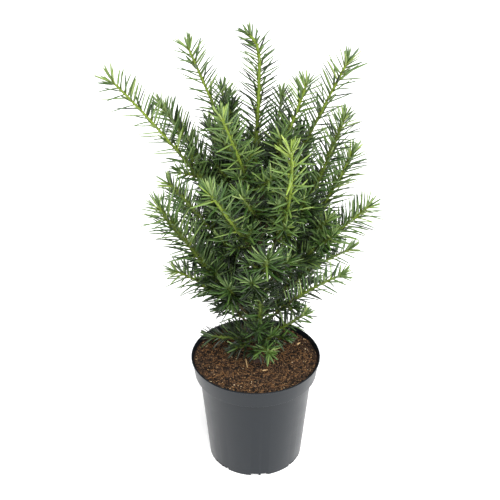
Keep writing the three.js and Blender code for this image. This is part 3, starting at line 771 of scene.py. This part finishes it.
def spray_needles(spray, random):
    """What needle_mesh takes, and the tone, for each needle that is clear of the pot."""
    length = spray.path.length
    way = needle_ways(spray, random)
    count = len(way)
    share = way / length
    tuft = smoothstep(way, length - TUFT_LENGTH, length)
    frames = frames_at(spray.path, share, spray.outward)
    side = radial(frames, needle_turns(spray, count, random))
    angle = needle_angles(spray, way, tuft, random)[:, None] * DEGREE
    start = frames.along * np.cos(angle) + side * np.sin(angle)
    end = needle_ends(spray, start, side, tuft, random)
    size = needle_sizes(spray, share, tuft, random)
    radius = between(spray.radius, STEM_TIP_RADIUS, share)
    root = frames.centre + side * (radius * 0.8)[:, None]
    tone = needle_tones(spray, share, tuft, root, random)
    face = UP * 0.7 + frames.along * 0.5 + random.normal(0, 0.35, (count, 3))
    width = between(*NEEDLE_WIDTH, spray.dense) * (1 - 0.2 * tuft) * random.normal(1, 0.07, count)
    middle = root + size[:, None] * 0.5 * start
    tip = root + size[:, None] * (0.5 * start + 0.5 * end)
    kept = clear_of_pot(tip) & clear_of_pot(middle)
    columns = {
        "root": root, "start": start, "end": unit(end), "size": size, "width": width, "face": face,
        "down": frames.along + 0.12 * side, "tone": tone,
    }
    return {key: values[kept] for key, values in columns.items()}


def needle_faces():
    """Quads and triangles of one needle, and the slots of both."""
    quads, slots, triangles, triangle_slots = [], [], [], []
    tip = len(STATIONS) * CORNERS
    for low in range(0, tip, CORNERS):
        high = low + CORNERS
        for corner in range(CORNERS):
            beside = (corner + 1) % CORNERS
            slot = UPPER if corner < 2 else UNDER
            if high < tip:
                quads.append([low + corner, high + corner, high + beside, low + beside])
                slots.append(STALK if low < STALK_STATIONS * CORNERS else slot)
            else:
                triangles.append([low + corner, tip, low + beside])
                triangle_slots.append(slot)
    quads.append([0, 1, 2, 3])
    slots.append(STALK)
    return np.array(quads), np.array(triangles), slots, triangle_slots


def needle_mesh(name, root, start, end, size, width, face, down):
    """Flat, slightly keeled blades with a short stalk and a sharp tip: a diamond in section."""
    count = len(root)
    place = STATIONS[:, 0][None, :, None]
    half_width = (STATIONS[:, 1][None] * width[:, None] / 2)[..., None]
    half_thickness = (STATIONS[:, 2] * NEEDLE_THICKNESS / 2)[None, :, None]
    reach = size[:, None, None]
    centre = root[:, None] + reach * (place * start[:, None] + place**2 / 2 * (end - start)[:, None])
    centre[:, 0] = root + size[:, None] * STATIONS[0, 0] * down
    heading = unit(start[:, None] + place * (end - start)[:, None])
    normal = unit(face[:, None] - heading * np.sum(face[:, None] * heading, axis=-1, keepdims=True))
    sideways = np.cross(heading, normal)
    ring = np.stack([
        centre - sideways * half_width,
        centre + normal * half_thickness,
        centre + sideways * half_width,
        centre - normal * half_thickness,
    ], axis=2)
    tip = root + size[:, None] * (0.5 * start + 0.5 * end)
    points = np.concatenate([ring.reshape(count, -1, 3), tip[:, None]], axis=1)
    base = np.arange(count)[:, None, None] * points.shape[1]
    quads, triangles, quad_slots, triangle_slots = needle_faces()
    faces = [(quads[None] + base).reshape(-1, 4), (triangles[None] + base).reshape(-1, 3)]
    slots = np.concatenate([np.tile(quad_slots, count), np.tile(triangle_slots, count)])
    points = points.reshape(-1, 3) + UP * (SOIL_LEVEL + CLEARANCE)
    return make_mesh(name, points, faces, slots, smooth=True)


def build_needles(sprays):
    rows = []
    for index, spray in enumerate(sprays):
        rows.append(spray_needles(spray, np.random.default_rng(NEEDLE_SEED + index)))
    columns = {key: np.concatenate([row[key] for row in rows]) for key in rows[0]}
    tone = columns.pop("tone")
    level = np.clip((tone * len(TONES)).astype(int), 0, len(TONES) - 1)
    nodes = [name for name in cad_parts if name.startswith("needles_")]
    for k, (name, upper, under) in enumerate(TONES):
        slot, stalk = DEEP if k < DEEP_TONES else BRIGHT
        materials = [
            plain_material(f"{name}_upper", upper, roughness=0.36, specular=0.55),
            plain_material(f"{name}_under", under, roughness=0.5, specular=0.35),
            plain_material(f"{name}_stalk", stalk, roughness=0.5, specular=0.25),
        ]
        chosen = np.flatnonzero(level == k)
        for part, first in enumerate(range(0, len(chosen), PIECE_NEEDLES)):
            picked = {key: values[chosen[first:first + PIECE_NEEDLES]] for key, values in columns.items()}
            piece = needle_mesh(f"{name}_{part}", **picked)
            dress(piece, materials, slot, *nodes)


# --- stems, boughs and trunk ---
def stem_radius(spray):
    """The radius of a spray's stem, with slanting ridges and a rounded tip."""
    thickness = SKINS[spray.kind].thickness

    def radius_at(share, angle):
        whole = thickness * (spray.radius + (STEM_TIP_RADIUS - spray.radius) * 0.5 * share)
        ridges = 0.1 * np.cos(5 * angle + 40 * share * math.pi)
        return whole * (1 + ridges) * np.sqrt(np.clip((1.002 - share) * 30, 0.05, 1))
    return radius_at


def skin_stretches(spray):
    """The skins of a spray's stem, each with the shares of its length that it starts and ends at."""
    skin = SKINS[spray.kind]
    brown_end = max(skin.brown_end - skin.brown_loss * spray.glow, LEAST_BROWN)
    olive_end = skin.olive_end - skin.olive_loss * spray.glow
    green = spray.kind == "leader" or spray.glow > GREEN_GLOW and spray.path.length > GREEN_LENGTH
    last = "stems_green" if green else "stems_dull"
    stretches = [("stems_brown", 0, brown_end), ("stems_olive", brown_end, olive_end), (last, olive_end, 1)]
    return [stretch for stretch in stretches if stretch[1] < stretch[2]]


def build_stems(sprays):
    parts = {name: [] for name in STEM_SKINS}
    for spray in sprays:
        for name, first, last in skin_stretches(spray):
            parts[name].append(tube(spray.path, spray.outward, stem_radius(spray), 8, 3, (first, last)))
    for name, (dark, light) in STEM_SKINS.items():
        skin = plain_material(f"{name}_skin", light, roughness=0.6, specular=0.3)
        add_color_blend(skin, add_noise(skin, scale=230), [(0.3, dark), (0.7, light)])
        add_piece(name, planted(join(parts[name])), skin, "bough_bark")


def bark_height(points, pitch, depth):
    """Flaky relief: long plates, with furrows between them."""
    heights = []
    for x, y, z in points:
        spot = Vector((x / pitch, y / pitch, z / (3.5 * pitch)))
        plates = abs(noise.noise(spot * 1.3)) * 1.6
        grain = noise.noise(spot * 4.1) * 0.35
        heights.append(depth * (0.6 - plates + grain))
    return np.array(heights)


def bark_limb(limb, sides, step, pitch, depth):
    points, faces = tube(limb.path, limb.outward, limb.radius_at, sides, step)
    skin = points[:-2]
    centre = np.repeat(limb.path.at(np.linspace(0, 1, len(skin) // sides)), sides, axis=0)
    outward = unit(skin - centre)
    skin += outward * bark_height(skin, pitch, depth)[:, None]
    return points, faces


def build_bark(trunk, boughs):
    bark = plain_material("trunk_bark_flakes", (66, 50, 44), roughness=0.85)
    pattern = add_noise(bark, scale=300, detail=8)
    add_color_blend(bark, pattern, [(0.3, (36, 27, 25)), (0.5, (66, 50, 44)), (0.7, (102, 82, 68))])
    add_bump(bark, pattern, distance=0.4)
    points, faces = bark_limb(trunk, sides=36, step=1.0, pitch=3.2, depth=0.42)
    points[:, 2] = np.maximum(points[:, 2], 0)
    add_piece("bark_trunk", planted((points, faces)), bark, "trunk_bark", "trunk")
    skin = plain_material("bough_bark_skin", (74, 68, 44), roughness=0.75, specular=0.25)
    pattern = add_noise(skin, scale=320)
    add_color_blend(skin, pattern, [(0.3, (46, 38, 28)), (0.5, (76, 68, 44)), (0.7, (98, 92, 58))])
    add_bump(skin, pattern, distance=0.3)
    parts = [bark_limb(bough, sides=16, step=1.2, pitch=2.2, depth=0.2) for bough in boughs]
    add_piece("bark_boughs", planted(join(parts)), skin, "bough_bark", *[bough.name for bough in boughs])


# --- pot ---
def rounded(corners, steps=5):
    """A profile from its corners, which are radius, height and rounding."""
    spots = np.array(corners, float)[:, :2]
    points = []
    for index, spot in enumerate(spots):
        rounding = corners[index][2]
        if rounding == 0:
            points.append(spot)
            continue
        before = spots[index - 1] - spot
        after = spots[index + 1] - spot
        reach = min(rounding, 0.49 * np.linalg.norm(before), 0.49 * np.linalg.norm(after))
        start = spot + unit(before) * reach
        end = spot + unit(after) * reach
        for t in np.linspace(0, 1, steps):
            points.append((1 - t) ** 2 * start + 2 * t * (1 - t) * spot + t**2 * end)
    return np.array(points)


def pot_profile():
    """From the middle of the underside out and up, over the rim and down inside."""
    return rounded([
        (0, 0, 0),
        (PAD_RADIUS, 0, 0.4),
        (PAD_RADIUS + PAD_SLOPE, FOOT_HEIGHT, 0.8),
        (FOOT_RING_INNER - FOOT_EDGE, FOOT_HEIGHT, 0.8),
        (FOOT_RING_INNER, 0, 0.3),
        (FOOT_RADIUS - FOOT_EDGE, 0, 0.3),
        (FOOT_RADIUS, FOOT_EDGE, 0.5),
        (WALL_TOP_RADIUS, COLLAR_FOOT - 0.5, 2.2),
        (COLLAR_RADIUS, COLLAR_FOOT, 0.4),
        (POT_RIM_RADIUS - LIP_OVERHANG, LIP_FOOT, 0.8),
        (POT_RIM_RADIUS, LIP_FOOT + 0.5, 0.5),
        (POT_RIM_RADIUS, POT_HEIGHT, 0.9),
        (POT_RIM_RADIUS - LIP_OVERHANG - POT_WALL + 0.5, POT_HEIGHT, 0.8),
        (pot_inner_radius(LIP_FOOT), LIP_FOOT - 0.5, 0.6),
        (pot_inner_radius(COLLAR_FOOT), COLLAR_FOOT + POT_WALL, 0.8),
        (pot_inner_radius(COLLAR_FOOT - 0.5), COLLAR_FOOT + POT_WALL - 0.5, 0.8),
        (pot_inner_radius(FLOOR_TOP), FLOOR_TOP, 1.0),
        (0, FLOOR_TOP, 0),
    ])


BOX_CORNERS = np.array([(x, y, z) for x in (-1, 1) for y in (-1, 1) for z in (-1, 1)], float)
BOX_SIDES = np.array([(0, 1, 3, 2), (4, 6, 7, 5), (0, 4, 5, 1), (2, 3, 7, 6), (0, 2, 6, 4), (1, 5, 7, 3)])
BOX_FACES = [BOX_SIDES, np.zeros((0, 3), int)]


def turned(points, azimuth):
    cos, sin, _ = outward_of(azimuth)
    x, y, z = points.T
    return np.stack([x * cos - y * sin, x * sin + y * cos, z], axis=-1)


def pot_cutters():
    """The notches in the foot, two beside each tooth, and the drainage holes."""
    drain_path = Path([(0, 0, -2 * FOOT_HEIGHT), (0, 0, 2 * FOOT_HEIGHT)])
    drain, drain_faces = tube(drain_path, FRONT, lambda share, angle: DRAIN_RADIUS, sides=24, step=20)
    drain = drain + np.array([DRAIN_CIRCLE, 0, 0])
    parts = []
    for foot in range(FOOT_COUNT):
        azimuth = FIRST_NOTCH_AZIMUTH + foot * 360 / FOOT_COUNT
        for side in (-1, 1):
            shift = side * (TOOTH_WIDTH + NOTCH_WIDTH) / 2
            notch = BOX_CORNERS * np.array([NOTCH_LENGTH, NOTCH_WIDTH, 2 * NOTCH_DEPTH]) / 2
            notch += np.array([(FOOT_RING_INNER + FOOT_RADIUS) / 2, shift, 0])
            parts.append((turned(notch, azimuth), BOX_FACES))
        parts.append((turned(drain, azimuth), drain_faces))
    return make_mesh("pot_cutters", *join(parts))


def cut_away(piece, cutters):
    """Cut the cutters out of the piece's mesh for good, and keep its sharp edges sharp."""
    cut = piece.modifiers.new("cut", "BOOLEAN")
    cut.object = cutters
    cut.operation = "DIFFERENCE"
    cut.solver = "EXACT"
    bpy.context.view_layer.update()
    result = piece.evaluated_get(bpy.context.evaluated_depsgraph_get())
    mesh = bpy.data.meshes.new_from_object(result)
    piece.modifiers.clear()
    piece.data = mesh
    bpy.data.objects.remove(cutters)
    mesh.polygons.foreach_set("use_smooth", np.full(len(mesh.polygons), True))
    mesh.set_sharp_from_angle(angle=40 * DEGREE)


def slate_plastic():
    plastic = plain_material("pot_slate_plastic", (14, 20, 26), roughness=0.36, specular=0.27)
    pattern = add_noise(plastic, scale=60, detail=8, roughness=0.7)
    add_color_blend(plastic, pattern, [(0.3, (12, 18, 24)), (0.7, (16, 22, 28))])
    roughness = add_range(plastic.node_tree, pattern.outputs["Fac"], (0.3, 0.7), (0.32, 0.4))
    plastic.node_tree.links.new(roughness, shader_of(plastic).inputs["Roughness"])
    grain = add_noise(plastic, scale=1500, detail=2)
    add_bump(plastic, grain, distance=0.03)
    return plastic


def build_pot():
    piece = make_mesh("pot_shell", *lathe(pot_profile(), segments=180), smooth=True)
    cut_away(piece, pot_cutters())
    dress(piece, [slate_plastic()], "pot_plastic", "pot")


def build_painted_shade_ribs():
    """Low ribs under the pot, just inside its foot, coloured near-black as painted shade: the shadow under
    the pot seen through the notches.
    """
    parts = []
    for first, last in FOOT_RIBS:
        ways = [outward_of(azimuth) for azimuth in np.linspace(first, last, 24)]
        path = Path([way * FOOT_RIB_RADIUS + UP * FOOT_RIB_HEIGHT for way in ways])
        parts.append(tube(path, UP, lambda share, angle: FOOT_RIB_HEIGHT / 2, sides=8, step=3))
    # Near-black and without sheen: painted shade, not the pot's own colour.
    shade = plain_material("pot_foot_ribs_plastic", (3, 4, 5), specular=0.0)
    add_piece("pot_foot_ribs", join(parts), shade, "pot_plastic")


# --- soil ---
def ripple(x, y, pitch):
    turn = 2 * math.pi / pitch
    return np.sin(turn * (x + RIPPLE_SKEW * y)) * np.cos(turn * (y - RIPPLE_SKEW * x))


def soil_height(x, y):
    radius = np.hypot(x, y)
    away = smoothstep(radius, SOIL_FLAT_RADIUS, 2 * SOIL_FLAT_RADIUS)
    lumps = ripple(x, y, SOIL_LARGE_PITCH) + SOIL_SMALL_SHARE * ripple(x, y, SOIL_SMALL_PITCH)
    return SOIL_LEVEL + soil_rise(radius) + away * SOIL_LUMP * lumps


def crumb_relief(x, y):
    """Fine relief on top of the soil's height."""
    relief = np.zeros(len(x))
    for pitch, height, part in CRUMB_LAYERS:
        spots = [Vector((a / pitch, b / pitch, part)) for a, b in zip(x, y)]
        relief += height * np.array([noise.noise(spot) for spot in spots])
    return relief


def soil_body():
    """The soil as one closed body with a rough top."""
    bottom = FLOOR_TOP + CLEARANCE
    shoulder = COLLAR_FOOT + POT_WALL + 2 * CLEARANCE
    profile = [
        (0, bottom),
        (pot_inner_radius(bottom) - CLEARANCE, bottom),
        (pot_inner_radius(COLLAR_FOOT - 0.5) - CLEARANCE, shoulder),
        (pot_inner_radius(shoulder) - CLEARANCE, shoulder),
    ]
    below = len(profile) - 1
    profile += [(radius, SOIL_EDGE) for radius in np.linspace(ROUND_SOIL_RADIUS, 1.2, 66)]
    profile.append((0, SOIL_EDGE))
    segments = 200
    points, faces = lathe(np.array(profile, float), segments)
    top = np.arange(len(points)) >= below * segments
    top[-2] = False
    x, y = points[top, 0], points[top, 1]
    points[top, 2] = soil_height(x, y) + crumb_relief(x, y)
    return points, faces


def hull_faces(points):
    """The outward triangles of a small convex set of points."""
    faces = []
    for a, b, c in itertools.combinations(range(len(points)), 3):
        normal = np.cross(points[b] - points[a], points[c] - points[a])
        sides = (points - points[a]) @ normal
        if np.all(sides < 1e-6):
            faces.append((a, b, c))
        elif np.all(sides > -1e-6):
            faces.append((a, c, b))
    return np.array(faces)


PHI = 1.618  # the golden ratio
SIGNS = [(a, b) for b in (1, -1) for a in (1, -1)]
ICOSAHEDRON = unit(np.array([(0, a, b * PHI) for a, b in SIGNS]
                            + [(a, b * PHI, 0) for a, b in SIGNS]
                            + [(a * PHI, 0, b) for a, b in SIGNS]))
ICOSAHEDRON_FACES = hull_faces(ICOSAHEDRON)


def random_turns(random, count):
    """Random rotation matrices."""
    first = unit(random.normal(size=(count, 3)))
    second = random.normal(size=(count, 3))
    second = unit(second - first * np.sum(first * second, axis=1, keepdims=True))
    return np.stack([first, second, np.cross(first, second)], axis=1)


def soil_place(random, margin, count=None):
    """Level places drawn evenly from the soil, but for a margin at its edge."""
    radius = (ROUND_SOIL_RADIUS - margin) * np.sqrt(random.uniform(0, 1, count))
    azimuth = random.uniform(0, 2 * math.pi, count)
    return radius * np.cos(azimuth), radius * np.sin(azimuth)


def crumbs(random, count, size, stretch):
    """Irregular bits lying in the top of the soil."""
    corners = len(ICOSAHEDRON)
    x, y = soil_place(random, 1.5, count)
    z = soil_height(x, y) + crumb_relief(x, y) * 0.8
    scale = between(*size, random.uniform(0, 1, count) ** 2.5)
    shape = ICOSAHEDRON[None] * random.uniform(0.6, 1.15, (count, corners, 1))
    shape = shape * (np.array(stretch) ** random.uniform(0.3, 1, (count, 1)))[:, None]
    shape = np.einsum("nki,nij->nkj", shape * scale[:, None, None], random_turns(random, count))
    shape[..., 2] *= BIT_FLATNESS
    points = np.stack([x, y, z + 0.25 * scale], axis=-1)[:, None] + shape
    faces = ICOSAHEDRON_FACES[None] + corners * np.arange(count)[:, None, None]
    return points.reshape(-1, 3), [faces.reshape(-1, 3)]


def fibre(random):
    """A thin bent strand of peat or wood, lying on the soil."""
    x, y = soil_place(random, 8)
    length = random.uniform(4, 13)
    heading = random.uniform(0, 2 * math.pi)
    step = np.array([math.cos(heading), math.sin(heading), random.normal(0, 0.12)]) * length / 2
    height = soil_height(x, y) + 1.0
    middle = np.array([x, y, height])
    across = np.array([step[1], -step[0], 0])
    bend = middle + across * random.normal(0, 0.35) + UP * random.uniform(0, 1)
    path = bezier(middle - step, bend, middle + step)
    path.points[:, 2] = np.maximum(path.points[:, 2], height - 0.6)
    thick = random.uniform(0.14, 0.4)
    return tube(path, FRONT, lambda share, angle: thick, sides=4, step=2.5)


def stick(start, end, thick):
    start = np.array([*start, soil_height(*start) + 2.2])
    end = np.array([*end, soil_height(*end) + 1.4])
    path = bezier(start, (start + end) / 2 + UP * 0.5, end)
    return tube(path, FRONT, lambda share, angle: thick * (1 - 0.4 * share), sides=6, step=3)


def build_soil():
    earth = plain_material("soil_earth", (64, 44, 30), roughness=0.95)
    pattern = add_noise(earth, scale=420, detail=8, roughness=0.7)
    stops = [(0.3, (14, 9, 6)), (0.47, (34, 24, 17)), (0.58, (62, 43, 29)), (0.7, (106, 77, 51))]
    add_color_blend(earth, pattern, stops)
    add_bump(earth, pattern, distance=1.2)
    add_piece("soil_bed", soil_body(), earth, "potting_soil", "soil")


def build_soil_bits():
    for index, (name, count, size, stretch, color) in enumerate(SOIL_BITS):
        bits = crumbs(np.random.default_rng(CRUMB_SEED + index), count, size, stretch)
        add_piece(name, bits, plain_material(f"{name}_bark", color), "potting_soil", smooth=False)
    random = np.random.default_rng(FIBRE_SEED)
    fibres = [fibre(random) for _ in range(FIBRE_COUNT)]
    peat = plain_material("soil_fibre_peat", (122, 88, 56))
    add_piece("soil_fibres", join(fibres), peat, "potting_soil")
    sticks = [stick(*row) for row in SOIL_STICKS]
    wood = plain_material("soil_stick_wood", (196, 164, 118), roughness=0.85)
    add_piece("soil_sticks", join(sticks), wood, "potting_soil", smooth=False)


# --- stage ---
def add_world():
    """A dark room, a little less so behind the plant than towards the viewer."""
    world = bpy.data.worlds.new("studio")
    world.use_nodes = True
    tree = world.node_tree
    direction = tree.nodes.new("ShaderNodeTexCoord")
    split = tree.nodes.new("ShaderNodeSeparateXYZ")
    tree.links.new(direction.outputs["Generated"], split.inputs["Vector"])
    strength = add_range(tree, split.outputs["Y"], (-0.6, 0.6), (0.7, 1.2))
    tree.links.new(strength, tree.nodes["Background"].inputs["Strength"])
    bpy.context.scene.world = world


def add_sun(name, direction, strength, softness):
    """Even light from the direction, as from a very large soft box."""
    light = bpy.data.lights.new(name, "SUN")
    light.energy = strength
    light.angle = softness * DEGREE
    lamp = bpy.data.objects.new(name, light)
    bpy.context.scene.collection.objects.link(lamp)
    lamp.rotation_euler = (-Vector(direction)).to_track_quat("-Z", "Y").to_euler()


def add_camera():
    scene = bpy.context.scene
    camera = bpy.data.objects.new("camera", bpy.data.cameras.new("camera"))
    scene.collection.objects.link(camera)
    camera.data.sensor_width = 36.0
    camera.data.lens = FOCAL_PIXELS * camera.data.sensor_width / IMAGE_WIDTH
    target = Vector((CAMERA_SIDE, 0, CAMERA_TARGET_HEIGHT)) * MILLIMETRE
    back = Vector((0, -math.cos(CAMERA_PITCH * DEGREE), math.sin(CAMERA_PITCH * DEGREE)))
    camera.location = target + back * CAMERA_DISTANCE * MILLIMETRE
    camera.rotation_euler = (math.pi / 2 - CAMERA_PITCH * DEGREE, 0, 0)
    scene.camera = camera


def build_stage():
    corners = [(-1, -1), (1, -1), (1, 1), (-1, 1)]
    points = [(x * FLOOR_SIZE, y * FLOOR_SIZE, -FLOOR_DROP) for x, y in corners]
    floor = make_mesh("floor", points, [[(0, 1, 2, 3)]])
    pale = plain_material("pale_floor", (250, 250, 250), specular=0.1)
    set_inputs(shader_of(pale), {"Emission Color": (1, 1, 1, 1), "Emission Strength": FLOOR_GLOW})
    floor.data.materials.append(pale)
    add_world()
    for sun in SUNS:
        add_sun(*sun)
    bpy.context.scene.view_settings.view_transform = "Standard"
    bpy.context.scene.view_settings.look = "None"
    add_camera()


# --- putting it together ---
trunk, boughs, sprays = grow()
build_stage()
build_pot()
build_painted_shade_ribs()
build_soil()
build_soil_bits()
build_bark(trunk, boughs)
build_stems(sprays)
build_needles(sprays)
